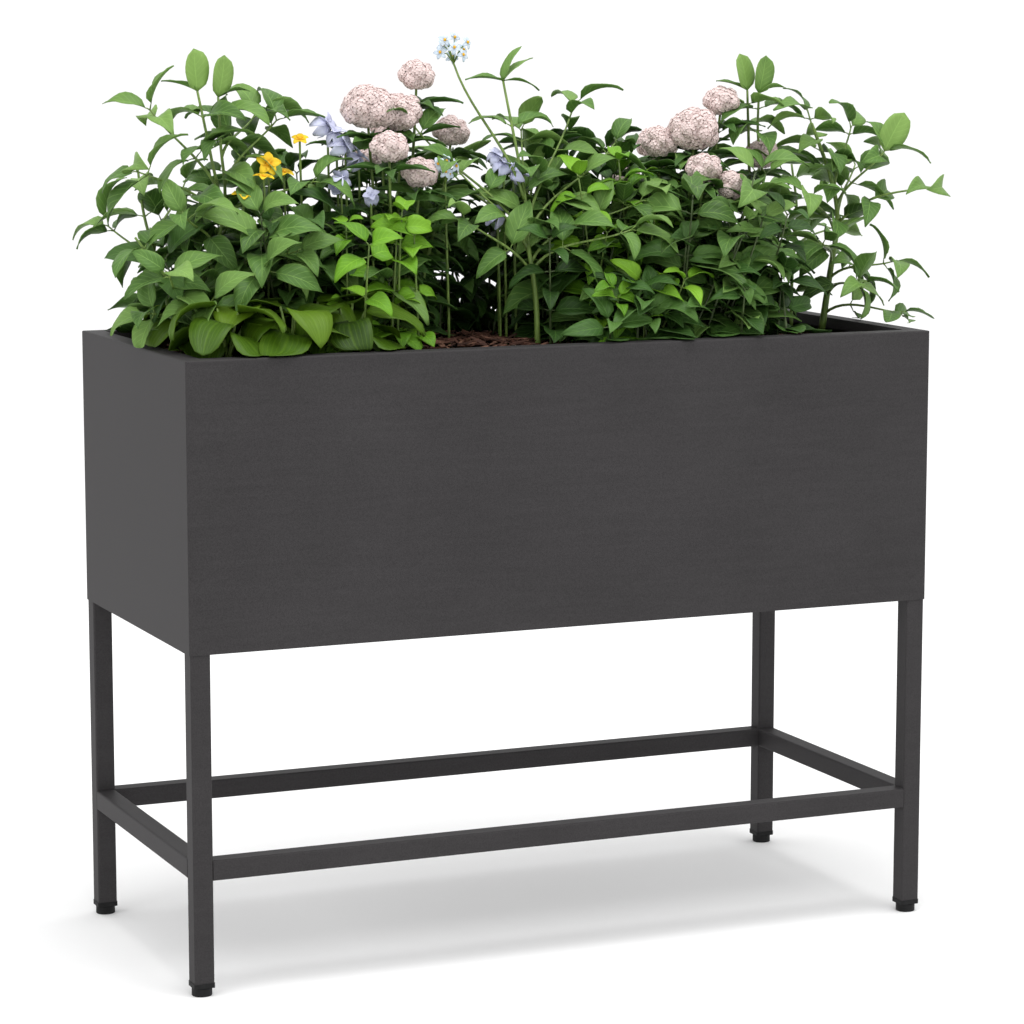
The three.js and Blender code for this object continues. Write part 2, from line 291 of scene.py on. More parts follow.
def leaf_material(name, dark, middle, light, veins=7.0, slanted=True, vein_light=0.35):
    """A leaf painted in its own coordinates: u across from edge to edge, v from stalk to tip.

    Its side veins slant out from the midrib, or else run from stalk to tip along with the leaf's edge.
    """
    n = Nodes(name)
    uv = n.node("SeparateXYZ", {"Vector": n.coordinates.outputs["UV"]})
    across = n.times(n.math("ABSOLUTE", n.minus(uv.outputs["X"], 0.5)), 2.0)
    along = uv.outputs["Y"]
    tone = n.tone()
    blotch = n.noise(55.0, 3.0, 0.6)
    shade = n.plus(tone, n.times(n.minus(blotch, 0.5), 0.35), clamp=True)
    blade = n.ramp(shade, (0.0, dark), (0.5, middle), (1.0, light))
    rib_phase = n.minus(along, n.times(across, 0.28)) if slanted else across
    wave = n.math("SINE", n.times(rib_phase, veins * TURN))
    side_veins = n.math("POWER", n.larger(wave, 0.0), 14.0 if slanted else 3.0)
    midrib = n.minus(1.0, n.times(across, 16.0), clamp=True)
    vein = n.larger(n.times(side_veins, 0.55), midrib)
    vein_amount = n.times(vein, vein_light)
    veined = n.mix(vein_amount, blade, tuple(min(1.0, c * 1.9 + 0.01) for c in light))
    edge = n.ramp(across, (0.82, 0.0), (1.0, 1.0))
    edge_amount = n.times(edge, 0.25)
    n.link(n.mix(edge_amount, veined, light), "Base Color")
    n.link(n.scaled(blotch, 0.44, 0.64), "Roughness")
    n.constant(Specular_IOR_Level=0.25)
    relief = n.minus(n.times(blotch, 0.3), n.times(vein, 0.8))
    n.bump(relief, 0.5, 0.0006)
    return n.material


def stem_material(name, dark, light):
    n = Nodes(name)
    streak = n.noise(1.0, 4.0, 0.6, n.stretched((320.0, 320.0, 40.0)))
    n.link(n.ramp(streak, (0.35, dark), (0.7, light)), "Base Color")
    n.link(n.scaled(streak, 0.45, 0.65), "Roughness")
    n.bump(streak, 0.4, 0.0005)
    return n.material


def petal_material(name, inner, outer, accent):
    """Petals shade from inner at the flower's middle to outer, by v; tone moves them towards accent."""
    n = Nodes(name)
    along = n.node("SeparateXYZ", {"Vector": n.coordinates.outputs["UV"]}).outputs["Y"]
    tone = n.tone()
    grain = n.noise(380.0, 3.0, 0.6)
    base = n.ramp(along, (0.0, inner), (0.55, outer))
    n.link(n.mix(n.times(tone, grain), base, accent), "Base Color")
    n.link(n.scaled(grain, 0.5, 0.75), "Roughness")
    n.constant(Specular_IOR_Level=0.3)
    n.bump(grain, 0.25, 0.0003)
    return n.material


MATERIALS = {
    "powder_coat": powder_coat(),
    "black_plastic": black_plastic(),
    "zinc_steel": zinc_steel(),
    "compost": compost(),
    "bark": bark(),
}
# Dark, middle and light.
LEAF_COLOURS = {
    "shrub_leaf": ((0.024, 0.058, 0.009), (0.07, 0.155, 0.028), (0.19, 0.32, 0.075)),
    "dark_leaf": ((0.01, 0.03, 0.004), (0.03, 0.083, 0.012), (0.085, 0.18, 0.034)),
    "lime_leaf": ((0.045, 0.13, 0.006), (0.11, 0.27, 0.012), (0.19, 0.38, 0.026)),
}
# Dark and light.
STEM_COLOURS = {
    "stem": ((0.075, 0.13, 0.022), (0.2, 0.31, 0.06)),
    "woody_stem": ((0.035, 0.055, 0.015), (0.1, 0.15, 0.05)),
}
# Inner, outer and accent.
PETAL_COLOURS = {
    "blossom": ((0.66, 0.54, 0.51), (0.73, 0.6, 0.58), (0.6, 0.49, 0.47)),
    "flower_core": ((0.66, 0.53, 0.49), (0.69, 0.56, 0.52), (0.56, 0.45, 0.41)),
    "yellow_petal": ((0.75, 0.33, 0.01), (0.8, 0.58, 0.02), (0.62, 0.3, 0.01)),
    "lavender_petal": ((0.38, 0.39, 0.56), (0.52, 0.54, 0.73), (0.72, 0.74, 0.85)),
    "pale_blue_petal": ((0.5, 0.57, 0.62), (0.6, 0.68, 0.76), (0.36, 0.48, 0.62)),
}
for make, colours_by_name in (
    (leaf_material, LEAF_COLOURS), (stem_material, STEM_COLOURS), (petal_material, PETAL_COLOURS),
):
    for name, colours in colours_by_name.items():
        MATERIALS[name] = make(name, *colours)
MATERIALS["broad_leaf"] = leaf_material(
    "broad_leaf", (0.012, 0.034, 0.001), (0.042, 0.098, 0.002), (0.088, 0.165, 0.005),
    veins=5.0, slanted=False, vein_light=0.2,
)
CAD_LOOKS = ("powder_coat", "black_plastic", "zinc_steel")


def finish_cad_nodes():
    slots = {s["node"]: s["material_slot"] for s in frame["record"]["subparts"]}
    for name, obj in NODES.items():
        if slots[name] not in CAD_LOOKS:
            continue
        look = MATERIALS[slots[name]]
        if not obj.material_slots:
            obj.data.materials.append(look)
        for material_slot in obj.material_slots:
            material_slot.material = look


finish_cad_nodes()


# ------ mesh building
def unit(v):
    return v / max(np.linalg.norm(v), 1e-9)


def stacked(parts, width):
    return np.concatenate(parts) if parts else np.zeros((0, width), int)


def add_piece(mesh, material, replaces=(), body=PLANTING):
    """A mesh as a piece of its own, riding on a body."""
    mesh.materials.append(MATERIALS[material])
    obj = bpy.data.objects.new(mesh.name, mesh)
    bpy.context.scene.collection.objects.link(obj)
    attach(obj, body)
    if replaces:
        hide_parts(*replaces)
    return obj


class Builder:
    """Collects many small shapes into one mesh, each with its UVs and a tone from 0 to 1."""

    def __init__(self):
        self.points, self.uvs, self.tones = [], [], []
        self.quads, self.triangles = [], []
        self.count = 0

    def add(self, points, uvs, tone, quads=None, triangles=None):
        if quads is not None:
            self.quads.append(quads + self.count)
        if triangles is not None:
            self.triangles.append(triangles + self.count)
        self.points.append(points)
        self.uvs.append(uvs)
        self.tones.append(np.broadcast_to(tone, len(points)))
        self.count += len(points)

    def mesh(self, name, smooth):
        quads, triangles = stacked(self.quads, 4), stacked(self.triangles, 3)
        loops = np.concatenate([quads.ravel(), triangles.ravel()])
        triangle_starts = quads.size + np.arange(len(triangles)) * 3
        starts = np.concatenate([np.arange(len(quads)) * 4, triangle_starts])
        mesh = bpy.data.meshes.new(name)
        mesh.vertices.add(self.count)
        mesh.vertices.foreach_set("co", np.concatenate(self.points).astype(np.float32).ravel())
        mesh.loops.add(len(loops))
        mesh.loops.foreach_set("vertex_index", loops.astype(np.int32))
        mesh.polygons.add(len(starts))
        mesh.polygons.foreach_set("loop_start", starts.astype(np.int32))
        mesh.polygons.foreach_set("use_smooth", np.full(len(starts), smooth))
        uvs = mesh.uv_layers.new(name="UVMap")
        uvs.data.foreach_set("uv", np.concatenate(self.uvs)[loops].astype(np.float32).ravel())
        tones = mesh.attributes.new("tone", "FLOAT", "POINT")
        tones.data.foreach_set("value", np.concatenate(self.tones).astype(np.float32))
        mesh.update(calc_edges=True)
        mesh.validate()
        return mesh

    def build(self, name, material, slot, replaces=(), thickness=0.0, smooth=True, body=PLANTING):
        obj = add_piece(self.mesh(name, smooth), material, replaces, body)
        if thickness:
            skin = obj.modifiers.new("thickness", "SOLIDIFY")
            skin.thickness = thickness
            skin.offset = 0.0


def grid_faces(rows, columns, closed=False):
    """Quads over a grid of points; closed joins the last column to the first."""
    r = np.arange(rows - 1)[:, None]
    c = np.arange(columns if closed else columns - 1)[None, :]
    a = r * columns + c
    b = r * columns + (c + 1) % columns
    return np.stack([a, b, b + columns, a + columns], -1).reshape(-1, 4)


def fan(middle, first, second):
    """Triangles from one point to each pair of the others."""
    return np.stack([np.full(len(first), middle), first, second], -1)


def cap_faces(rows, columns):
    """Triangles that close both ends of a closed grid, to two more points after the grid's own."""
    k = np.arange(columns)
    n = (k + 1) % columns
    end = (rows - 1) * columns
    return np.concatenate([fan(rows * columns, n, k), fan(rows * columns + 1, end + k, end + n)])


def grid_points(x, y, z):
    """A grid's points, row after row, from coordinates of any shapes that broadcast together."""
    return np.stack(np.broadcast_arrays(x, y, z), -1).reshape(-1, 3)


# Any direction that no stem runs along.
ASKEW = [0.3, 0.9, 0.2]


def add_tube(builder, path, radii, sides, tone=0.5):
    """A closed tube along path, with a radius at each of its points."""
    tangents = np.gradient(path, axis=0)
    side = unit(np.cross(tangents[0], ASKEW))
    turn = np.linspace(0.0, TURN, sides, endpoint=False)[:, None]
    rings = []
    for point, tangent, radius in zip(path, tangents, radii):
        tangent = unit(tangent)
        side = unit(side - tangent * np.dot(side, tangent))
        rings.append(point + (np.cos(turn) * side + np.sin(turn) * np.cross(tangent, side)) * radius)
    points = np.concatenate(rings + [path[:1], path[-1:]])
    faces = grid_faces(len(path), sides, closed=True)
    builder.add(points, np.zeros((len(points), 2)), tone, faces, cap_faces(len(path), sides))


def add_ball(builder, centre, radius, rng, tone=0.5, rows=7, columns=12):
    """A slightly uneven closed ball."""
    tilt = np.linspace(0.2, math.pi - 0.2, rows)[:, None]
    turn = np.linspace(0.0, TURN, columns, endpoint=False)[None, :]
    level = np.sin(tilt)
    shape = grid_points(level * np.cos(turn), -level * np.sin(turn), np.cos(tilt))
    ring_points = centre + shape * radius * rng.uniform(0.95, 1.03, (rows * columns, 1))
    points = np.concatenate([ring_points, [centre + UP * radius, centre - UP * radius]])
    faces = grid_faces(rows, columns, closed=True)
    builder.add(points, np.full((len(points), 2), 0.2), tone, faces, cap_faces(rows, columns))


# ------ leaves
# A leaf's shape: width to length, where it is widest (rise and fall of the outline), how far its tip
# droops in radians, its fold along the midrib, and the waviness of its edges.
LeafKind = namedtuple("LeafKind", "width rise fall droop fold wave")
LEAF_KINDS = {
    "ovate": LeafKind(0.49, 0.6, 1.12, 1.05, 0.16, 0.03),
    "upright": LeafKind(0.66, 0.5, 0.5, 0.1, 0.12, 0.012),
    "narrow": LeafKind(0.3, 0.7, 1.15, 0.7, 0.24, 0.02),
    "heart": LeafKind(0.66, 0.42, 1.1, 1.15, 0.16, 0.025),
    "broad": LeafKind(0.64, 0.5, 0.85, 1.55, 0.1, 0.03),
}
LEAF_ROWS = 9
LEAF_COLUMNS = 5
LEAF_FACES = grid_faces(LEAF_ROWS, LEAF_COLUMNS)
LEAF_THICKNESS = 0.0005
LEAF_VARIANTS = 12


def leaf_grid(kind, rng):
    """One leaf of length 1 along +Y, its upper face to +Z, slightly different each time."""
    k = LEAF_KINDS[kind]
    v = np.linspace(0.0, 1.0, LEAF_ROWS)
    u = np.linspace(-1.0, 1.0, LEAF_COLUMNS)
    outline = v ** k.rise * (1.0 - v) ** k.fall
    half = 0.5 * k.width * outline / outline.max()
    half[0], half[-1] = 0.012, 0.004
    angle = k.droop * rng.uniform(0.6, 1.35) * v ** 1.3
    step = np.diff(v, prepend=0.0)
    spine_y = np.cumsum(np.cos(angle) * step)
    spine_z = -np.cumsum(np.sin(angle) * step)
    spine_x = rng.normal(0.0, 0.11) * v ** 2
    fold = k.fold * rng.uniform(0.5, 1.5)
    phase = rng.uniform(0.0, TURN)
    uu, vv = np.meshgrid(u, v)
    wave = k.wave * np.sin(vv * 9.0 + phase + uu * 1.2) * uu ** 2
    lift = fold * np.abs(uu) * half[:, None] * 2.0 + wave
    x = spine_x[:, None] + uu * half[:, None]
    y = spine_y[:, None] + np.sin(angle)[:, None] * lift
    z = spine_z[:, None] + np.cos(angle)[:, None] * lift
    points = grid_points(x, y, z)
    uvs = np.stack([(uu + 1.0) / 2.0, vv], -1).reshape(-1, 2)
    return points, uvs


def leaf_bank(kind, seed):
    rng = np.random.default_rng(seed)
    return [leaf_grid(kind, rng) for _ in range(LEAF_VARIANTS)]


LEAF_BANKS = {kind: leaf_bank(kind, 11 + i) for i, kind in enumerate(sorted(LEAF_KINDS))}


def frame_of(forward, face_up):
    """Columns: across, forward, up. face_up is where the upper side roughly looks."""
    forward = unit(forward)
    up = face_up - forward * np.dot(face_up, forward)
    if np.linalg.norm(up) < 0.05:
        up = np.cross(forward, [1.0, 0.2, 0.0])
    up = unit(up)
    return np.stack([np.cross(forward, up), forward, up], -1)


# ------ where the bed and the rim are
BED_LOW, BED_HIGH = (np.array(corner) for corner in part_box("bark_mulch"))
BED_TOP = BED_HIGH[2]
RIM_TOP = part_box("front_panel")[1].z
CLEAR = 0.002
# How near the bark or the rim a leaf starts to bend away from it.
SETTLING = 0.004
# A leaf rises to the rim from this far inside the bed's edge, over this much of its way outwards.
RIM_REACH, RIM_SLOPE = 0.012, 0.008
SPACE_LOW, SPACE_HIGH = np.array(CAD_BOUNDS[0]) - CLEAR, np.array(CAD_BOUNDS[1]) + CLEAR
# Where the bark lies heaped nearly to the rim: the heap's middle and half widths, and its height.
HEAP_MIDDLE = BED_LOW[:2] + np.array([0.415, 0.38]) * (BED_HIGH - BED_LOW)[:2]
HEAP_REACH = np.array([0.085, 0.135])
HEAP_HEIGHT = 0.012


def heap_height(x, y):
    """How far the bark is heaped above the level bed."""
    away = ((x - HEAP_MIDDLE[0]) / HEAP_REACH[0]) ** 2 + ((y - HEAP_MIDDLE[1]) / HEAP_REACH[1]) ** 2
    return HEAP_HEIGHT * np.exp(-away ** 2)


def outward(spot):
    """Towards the open side of the bed that is nearest, level."""
    reach = (spot[:2] - (BED_LOW + BED_HIGH)[:2] / 2) / (BED_HIGH - BED_LOW)[:2] * 2
    along_x = math.copysign(abs(reach[0]) ** 3, reach[0])
    along_y = math.copysign(abs(reach[1]) ** 0.5, reach[1])
    return np.array([along_x, along_y, 0.0])


def keep_clear(points):
    """Lets leaf points settle softly on the bark, or on the rim where they reach past the bed's edge."""
    past_edge = np.maximum(
        np.maximum(BED_LOW[0] - points[:, 0], points[:, 0] - BED_HIGH[0]),
        np.maximum(BED_LOW[1] - points[:, 1], points[:, 1] - BED_HIGH[1]),
    )
    on_rim = np.clip((past_edge + RIM_REACH) / RIM_SLOPE, 0.0, 1.0)
    bark = BED_TOP + heap_height(points[:, 0], points[:, 1])
    ground = CLEAR + bark + (RIM_TOP - bark) * on_rim
    settled = points.copy()
    above = np.clip((points[:, 2] - ground) / SETTLING, -30.0, 30.0)
    settled[:, 2] = np.maximum(ground + SETTLING * np.log1p(np.exp(above)), points[:, 2])
    return settled


def in_box(node, fx, fy, fz):
    """A point by its fractions of a CAD node's box, counted up from the bark."""
    low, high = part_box(node)
    x = low.x + fx * (high.x - low.x)
    y = low.y + fy * (high.y - low.y)
    return np.array([x, y, BED_TOP + fz * (high.z - BED_TOP)])


def in_bed(fx, fy, height=0.0):
    """A point by its fractions of the bed's length and depth, at a height above the bark."""
    spot = BED_LOW + np.array([fx, fy, 0.0]) * (BED_HIGH - BED_LOW)
    return np.array([spot[0], spot[1], BED_TOP + height])


# ------ growing
Style = namedtuple("Style", "kind look length spacing tone rise")
TWIG_TIP = 0.0008
FRONT = np.array([0.25, -1.0, 0.15])


def heading(angle, rise):
    """A direction by its turn round the vertical, rising by so much for each unit of reach."""
    return np.array([math.cos(angle), math.sin(angle), rise])


def smooth_path(points, count):
    """A Catmull-Rom curve through the points."""
    p = np.asarray(points, float)
    p = np.concatenate([2 * p[:1] - p[1:2], p, 2 * p[-1:] - p[-2:-1]])
    out = []
    for t in np.linspace(0.0, len(p) - 3 - 1e-9, count):
        i = int(t)
        f = t - i
        a, b, c, d = p[i:i + 4]
        cubic = (3 * b - a - 3 * c + d) * f ** 3
        out.append(0.5 * (2 * b + (c - a) * f + (2 * a - 5 * b + 4 * c - d) * f ** 2 + cubic))
    return np.array(out)


def branch_path(start, parent_direction, tip, lift):
    """Leaves start partly along its parent and ends at tip, rising there if lift is positive."""
    chord = tip - start
    reach = np.linalg.norm(chord)
    first = start + unit(parent_direction + unit(chord)) * reach * 0.35
    second = tip - unit(unit(chord) + UP * lift) * reach * 0.35
    t = np.linspace(0.0, 1.0, 12)[:, None]
    s = 1.0 - t
    return s ** 3 * start + 3 * s * s * t * first + 3 * s * t * t * second + t ** 3 * tip


def along(curve, t):
    """The point and direction at a fraction of a curve's points."""
    x = t * (len(curve) - 1)
    i = min(int(x), len(curve) - 2)
    return curve[i] + (curve[i + 1] - curve[i]) * (x - i), unit(curve[i + 1] - curve[i])


def curve_length(curve):
    return float(np.linalg.norm(np.diff(curve, axis=0), axis=1).sum())


class Plant:
    """Leaves and stems of one plant, kept off the rim and the bark and inside the object's space."""

    def __init__(self, name, seed):
        self.name = name
        self.rng = np.random.default_rng(seed)
        self.leaves = {}
        self.stems = Builder()

    def leaf(self, at, forward, length, kind, look, tone, face_up=UP):
        """One leaf, left out if it would grow past the object's space."""
        points, uvs = LEAF_BANKS[kind][self.rng.integers(len(LEAF_BANKS[kind]))]
        axes = frame_of(forward, face_up + self.rng.normal(0.0, 0.14, 3))
        placed = keep_clear(at + points * length @ axes.T)
        if (placed < SPACE_LOW).any() or (placed > SPACE_HIGH).any():
            return False
        shade = float(np.clip(self.rng.normal(tone, 0.16), 0.0, 1.0))
        self.leaves.setdefault(look, Builder()).add(placed, uvs, shade, LEAF_FACES)
        return True

    def stem(self, curve, start, end, sides=7):
        add_tube(self.stems, curve, np.linspace(start, end, len(curve)), sides)

    def stalked_leaf(self, spot, forward, size, style, tone):
        """A leaf on its short stalk."""
        foot = spot + forward * size * self.rng.uniform(0.1, 0.2)
        face_up = UP + outward(spot) * self.rng.uniform(0.1, 1.3)
        if self.leaf(foot, forward, size, style.kind, style.look, tone, face_up):
            middle = (spot + foot) / 2 + UP * size * 0.01
            self.stem(np.array([spot, middle, foot]), 0.0008, 0.0005, 4)

    def dress(self, curve, style, start=0.3, tip_pair=True):
        """Opposite pairs of leaves along a stem, each pair turned a quarter from the last."""
        rng = self.rng
        pairs = max(2, int(round(curve_length(curve) * (1.0 - start) / style.spacing)))
        turn = rng.uniform(0.0, math.pi)
        places = np.linspace(start, 0.9, pairs)
        for i, place in enumerate(list(places) + [1.0] * tip_pair):
            spot, tangent = along(curve, place)
            side = unit(np.cross(tangent, [0.31, 0.75, 0.2]))
            other = np.cross(tangent, side)
            angle = turn + i * math.pi / 2 + rng.normal(0.0, 0.25)
            at_tip = place == 1.0
            for half_turn in (0.0, math.pi):
                out = math.cos(angle + half_turn) * side + math.sin(angle + half_turn) * other
                out = out * np.array([1.0, 1.0, 0.5])
                forward = unit(out + tangent * (style.rise + 0.7 * at_tip) + rng.normal(0.0, 0.1, 3))
                size = style.length * (1.05 - 0.22 * place) * rng.uniform(0.82, 1.15)
                self.stalked_leaf(spot, forward, size, style, style.tone + 0.22 * place - 0.08)

    def finish(self, replaces=(), stem_look="stem"):
        for look, builder in sorted(self.leaves.items()):
            name = f"{self.name}_{look.replace('leaf', 'leaves')}"
            builder.build(name, look, "foliage", thickness=LEAF_THICKNESS)
        self.stems.build(f"{self.name}_stems", stem_look, "foliage", replaces=replaces)


def trunk_path(node, points):
    return smooth_path([in_box(node, *point) for point in points], 20)


def grow_shrub(node, seed, style, trunks, arms, top_leaves):
    """A leafy shrub in its node's box.

    trunks: points up each stem, its radius at the foot, and where its leaves start.
    arms: the trunk it leaves, how far up that is, its tip, and how much the tip rises.
    top_leaves: the trunk whose end a broad upright leaf stands on, and its lean to the right.
    """
    plant = Plant(node, seed)
    curves = []
    for points, radius, start in trunks:
        curve = trunk_path(node, points)
        plant.stem(curve, radius, 0.0012, 8)
        plant.dress(curve, style, start, tip_pair=False)
        curves.append(curve)
    for trunk, place, tip, lift in arms:
        spot, direction = along(curves[trunk], place)
        curve = branch_path(spot, direction, in_box(node, *tip), lift)
        plant.stem(curve, 0.0017, TWIG_TIP)
        plant.dress(curve, style, 0.38)
    for trunk, lean in top_leaves:
        tip = curves[trunk][-1]
        length = style.length * 0.74
        up_way = np.array([lean, -0.1, 1.0])
        plant.leaf(tip, up_way, length, "upright", style.look, 0.95, face_up=FRONT)
        side_way = np.array([math.copysign(1.0, lean), 0.1, 0.55])
        plant.leaf(tip, side_way, length * 0.9, "narrow", style.look, 0.6)
    return plant


def grow_shrub_left():
    trunks = [
        ([(0.56, 0.5, 0), (0.56, 0.5, 0.2), (0.66, 0.5, 0.44), (0.62, 0.5, 0.66), (0.56, 0.48, 0.88)],
         0.0024, 0.42),
        ([(0.6, 0.55, 0), (0.62, 0.55, 0.25), (0.68, 0.52, 0.5), (0.66, 0.5, 0.7), (0.645, 0.48, 0.86)],
         0.0022, 0.5),
        ([(0.5, 0.4, 0), (0.47, 0.38, 0.12), (0.38, 0.36, 0.28), (0.26, 0.36, 0.41)], 0.002, 0.3),
        ([(0.52, 0.7, 0), (0.5, 0.75, 0.22), (0.44, 0.8, 0.45), (0.42, 0.82, 0.62)], 0.002, 0.22),
    ]
    arms = [
        (0, 0.62, (0.36, 0.46, 0.82), 0.1), (0, 0.5, (0.3, 0.44, 0.62), -0.2),
        (0, 0.4, (0.44, 0.3, 0.48), 0.1), (1, 0.58, (0.9, 0.52, 0.78), 0.0),
        (1, 0.45, (0.98, 0.34, 0.58), 0.0), (1, 0.7, (0.84, 0.6, 0.8), 0.3),
        (2, 0.35, (0.32, 0.36, 0.16), -0.1), (2, 0.45, (0.34, 0.2, 0.3), 0.0),
        (0, 0.22, (0.72, 0.16, 0.3), 0.0), (1, 0.28, (0.86, 0.2, 0.36), 0.1),
        (0, 0.15, (0.5, 0.18, 0.2), 0.1), (1, 0.35, (0.9, 0.8, 0.52), 0.1),
        (3, 0.4, (0.32, 0.9, 0.42), 0.0), (3, 0.5, (0.66, 0.95, 0.56), 0.2),
        (3, 0.25, (0.74, 0.9, 0.26), 0.1),
    ]
    style = Style("ovate", "shrub_leaf", 0.056, 0.034, 0.5, 0.3)
    return grow_shrub("shrub_left", 21, style, trunks, arms, [(0, -0.16), (1, 0.22)])


def grow_shrub_right():
    trunks = [
        ([(0.54, 0.5, 0), (0.58, 0.5, 0.2), (0.62, 0.5, 0.42), (0.56, 0.5, 0.6), (0.46, 0.48, 0.76)],
         0.004, 0.34),
        ([(0.2, 0.6, 0), (0.24, 0.58, 0.22), (0.18, 0.56, 0.5), (0.14, 0.52, 0.74), (0.12, 0.5, 0.88)],
         0.0024, 0.36),
        ([(0.24, 0.6, 0), (0.28, 0.58, 0.26), (0.24, 0.54, 0.52), (0.18, 0.5, 0.72), (0.17, 0.48, 0.87)],
         0.002, 0.46),
        ([(0.5, 0.7, 0), (0.54, 0.76, 0.2), (0.6, 0.82, 0.42), (0.58, 0.84, 0.6)], 0.0022, 0.22),
    ]
    arms = [
        (0, 0.55, (0.78, 0.36, 0.66), 0.2), (0, 0.46, (0.9, 0.1, 0.54), -0.2),
        (0, 0.7, (0.4, 0.42, 0.8), 0.2), (0, 0.24, (0.78, 0.3, 0.26), 0.0),
        (0, 0.08, (0.8, 0.24, 0.08), -0.1), (0, 0.3, (0.36, 0.22, 0.34), 0.0),
        (0, 0.4, (0.3, 0.28, 0.52), 0.0), (0, 0.16, (0.52, 0.14, 0.2), 0.0),
        (1, 0.4, (0.02, 0.34, 0.5), 0.0), (0, 0.5, (0.86, 0.72, 0.6), 0.1),
        (3, 0.45, (0.88, 0.92, 0.36), 0.0), (3, 0.55, (0.3, 0.94, 0.5), 0.1),
        (3, 0.3, (0.34, 0.86, 0.24), 0.1), (0, 0.62, (0.7, 0.52, 0.74), 0.2),
        (1, 0.25, (0.04, 0.22, 0.28), 0.0),
    ]
    style = Style("ovate", "shrub_leaf", 0.054, 0.033, 0.5, 0.3)
    plant = grow_shrub("shrub_right", 22, style, trunks, arms, [(1, -0.2), (2, 0.2)])
    tip = in_box("shrub_right", 0.78, 0.36, 0.66)
    plant.leaf(tip, np.array([0.45, -0.1, 1.0]), 0.046, "upright", "shrub_leaf", 0.95, face_up=FRONT)
    return plant


def grow_tall_plant():
    """The tallest plant, in the middle: one trunk that forks at half its height."""
    node = "tall_plant_middle"
    trunks = [
        ([(0.19, 0.3, 0), (0.17, 0.3, 0.18), (0.14, 0.32, 0.34), (0.18, 0.38, 0.5), (0.12, 0.46, 0.84)],
         0.0032, 0.55),
    ]
    arms = [
        (0, 0.55, (0.32, 0.52, 0.68), 0.3), (0, 0.58, (0.66, 0.48, 0.76), 0.3),
        (0, 0.52, (0.92, 0.44, 0.64), 0.2), (0, 0.5, (-0.55, 0.46, 0.72), 0.3),
        (0, 0.46, (-0.3, 0.4, 0.58), 0.1), (0, 0.4, (0.96, 0.32, 0.46), 0.0),
        (0, 0.34, (-0.36, 0.28, 0.42), 0.0), (0, 0.5, (0.66, 0.7, 0.62), 0.2),
        (0, 0.44, (0.0, 0.72, 0.56), 0.2), (0, 0.36, (0.74, 0.2, 0.38), 0.0),
    ]
    style = Style("ovate", "shrub_leaf", 0.052, 0.034, 0.46, 0.45)
    plant = grow_shrub(node, 23, style, trunks, arms, [])
    top = trunk_path(node, trunks[0][0])[-1]
    for lean_x, lean_z in ((-1.0, 0.25), (0.75, 0.95), (0.3, 1.15), (0.95, 0.15)):
        plant.leaf(top, np.array([lean_x, -0.15, lean_z]), 0.042, "narrow", "shrub_leaf", 0.6)
    return plant


# Stretches of the bed's length left bare, from the front back to a fraction of its depth: a patch where
# the bark shows, and room in front of the tall plant's trunk.
BARE_PATCHES = [(0.34, 0.51, 0.7), (0.51, 0.575, 0.26)]


def is_bare(fx, fy):
    return any(start < fx < end and fy < depth for start, end, depth in BARE_PATCHES)


def thicket(plant, style, count, x_range, y_range, height_range, lean=0.035):
    """Leafy shoots that rise from the bark, with their feet spread over a stretch of the bed."""
    rng = plant.rng
    planted = 0
    while planted < count:
        fx, fy = rng.uniform(*x_range), rng.uniform(*y_range)
        if is_bare(fx, fy):
            continue
        planted += 1
        foot = in_bed(fx, fy)
        tip = foot + np.append(rng.normal(0.0, lean, 2), rng.uniform(*height_range))
        curve = branch_path(foot, UP, tip, rng.uniform(-0.3, 0.5))
        plant.stem(curve, 0.0016, TWIG_TIP, 5)
        shade = style.tone + rng.normal(0.0, 0.12)
        size = style.length * rng.uniform(0.68, 1.36)
        plant.dress(curve, style._replace(tone=shade, length=size), 0.16)


DARK_SHOOTS = Style("ovate", "dark_leaf", 0.05, 0.022, 0.42, 0.25)
LIGHT_SHOOTS = Style("ovate", "shrub_leaf", 0.052, 0.026, 0.42, 0.3)
LIME_HEARTS = Style("heart", "lime_leaf", 0.036, 0.03, 0.4, 0.2)
LIME_SHOOTS = Style("ovate", "lime_leaf", 0.034, 0.024, 0.28, 0.25)

# In each list of thickets: style, count, stretches of the bed's length and depth, heights, and lean.
# Dense dark foliage between the taller plants and the front rim, leafy down to the bark.
FRONT_UNDERGROWTH = [
    (DARK_SHOOTS, 26, (0.54, 0.86), (0.06, 0.24), (0.03, 0.075), 0.02),
    (DARK_SHOOTS, 26, (0.5, 0.86), (0.2, 0.55), (0.07, 0.135)),
    (DARK_SHOOTS, 18, (0.2, 0.34), (0.34, 0.6), (0.08, 0.14)),
    (LIGHT_SHOOTS, 16, (0.5, 0.84), (0.12, 0.5), (0.11, 0.19)),
]
# The same foliage behind the taller plants, and round the back and the left of the bed.
BACK_UNDERGROWTH = [
    (DARK_SHOOTS, 34, (0.2, 0.84), (0.55, 0.85), (0.12, 0.2)),
    (DARK_SHOOTS, 14, (0.32, 0.52), (0.72, 0.92), (0.06, 0.17), 0.02),
    (DARK_SHOOTS, 14, (0.08, 0.24), (0.4, 0.86), (0.04, 0.11)),
    (DARK_SHOOTS, 24, (0.06, 0.9), (0.82, 0.94), (0.04, 0.11), 0.02),
    (LIGHT_SHOOTS, 14, (0.08, 0.34), (0.36, 0.8), (0.06, 0.15)),
]
# Bright leaves that climb through it.
LIME_CLIMBER = [
    (LIME_HEARTS, 6, (0.22, 0.35), (0.16, 0.34), (0.115, 0.155), 0.02),
    (LIME_SHOOTS, 5, (0.56, 0.66), (0.08, 0.24), (0.05, 0.085)),
    (LIME_SHOOTS, 12, (0.56, 0.74), (0.2, 0.55), (0.11, 0.19)),
]


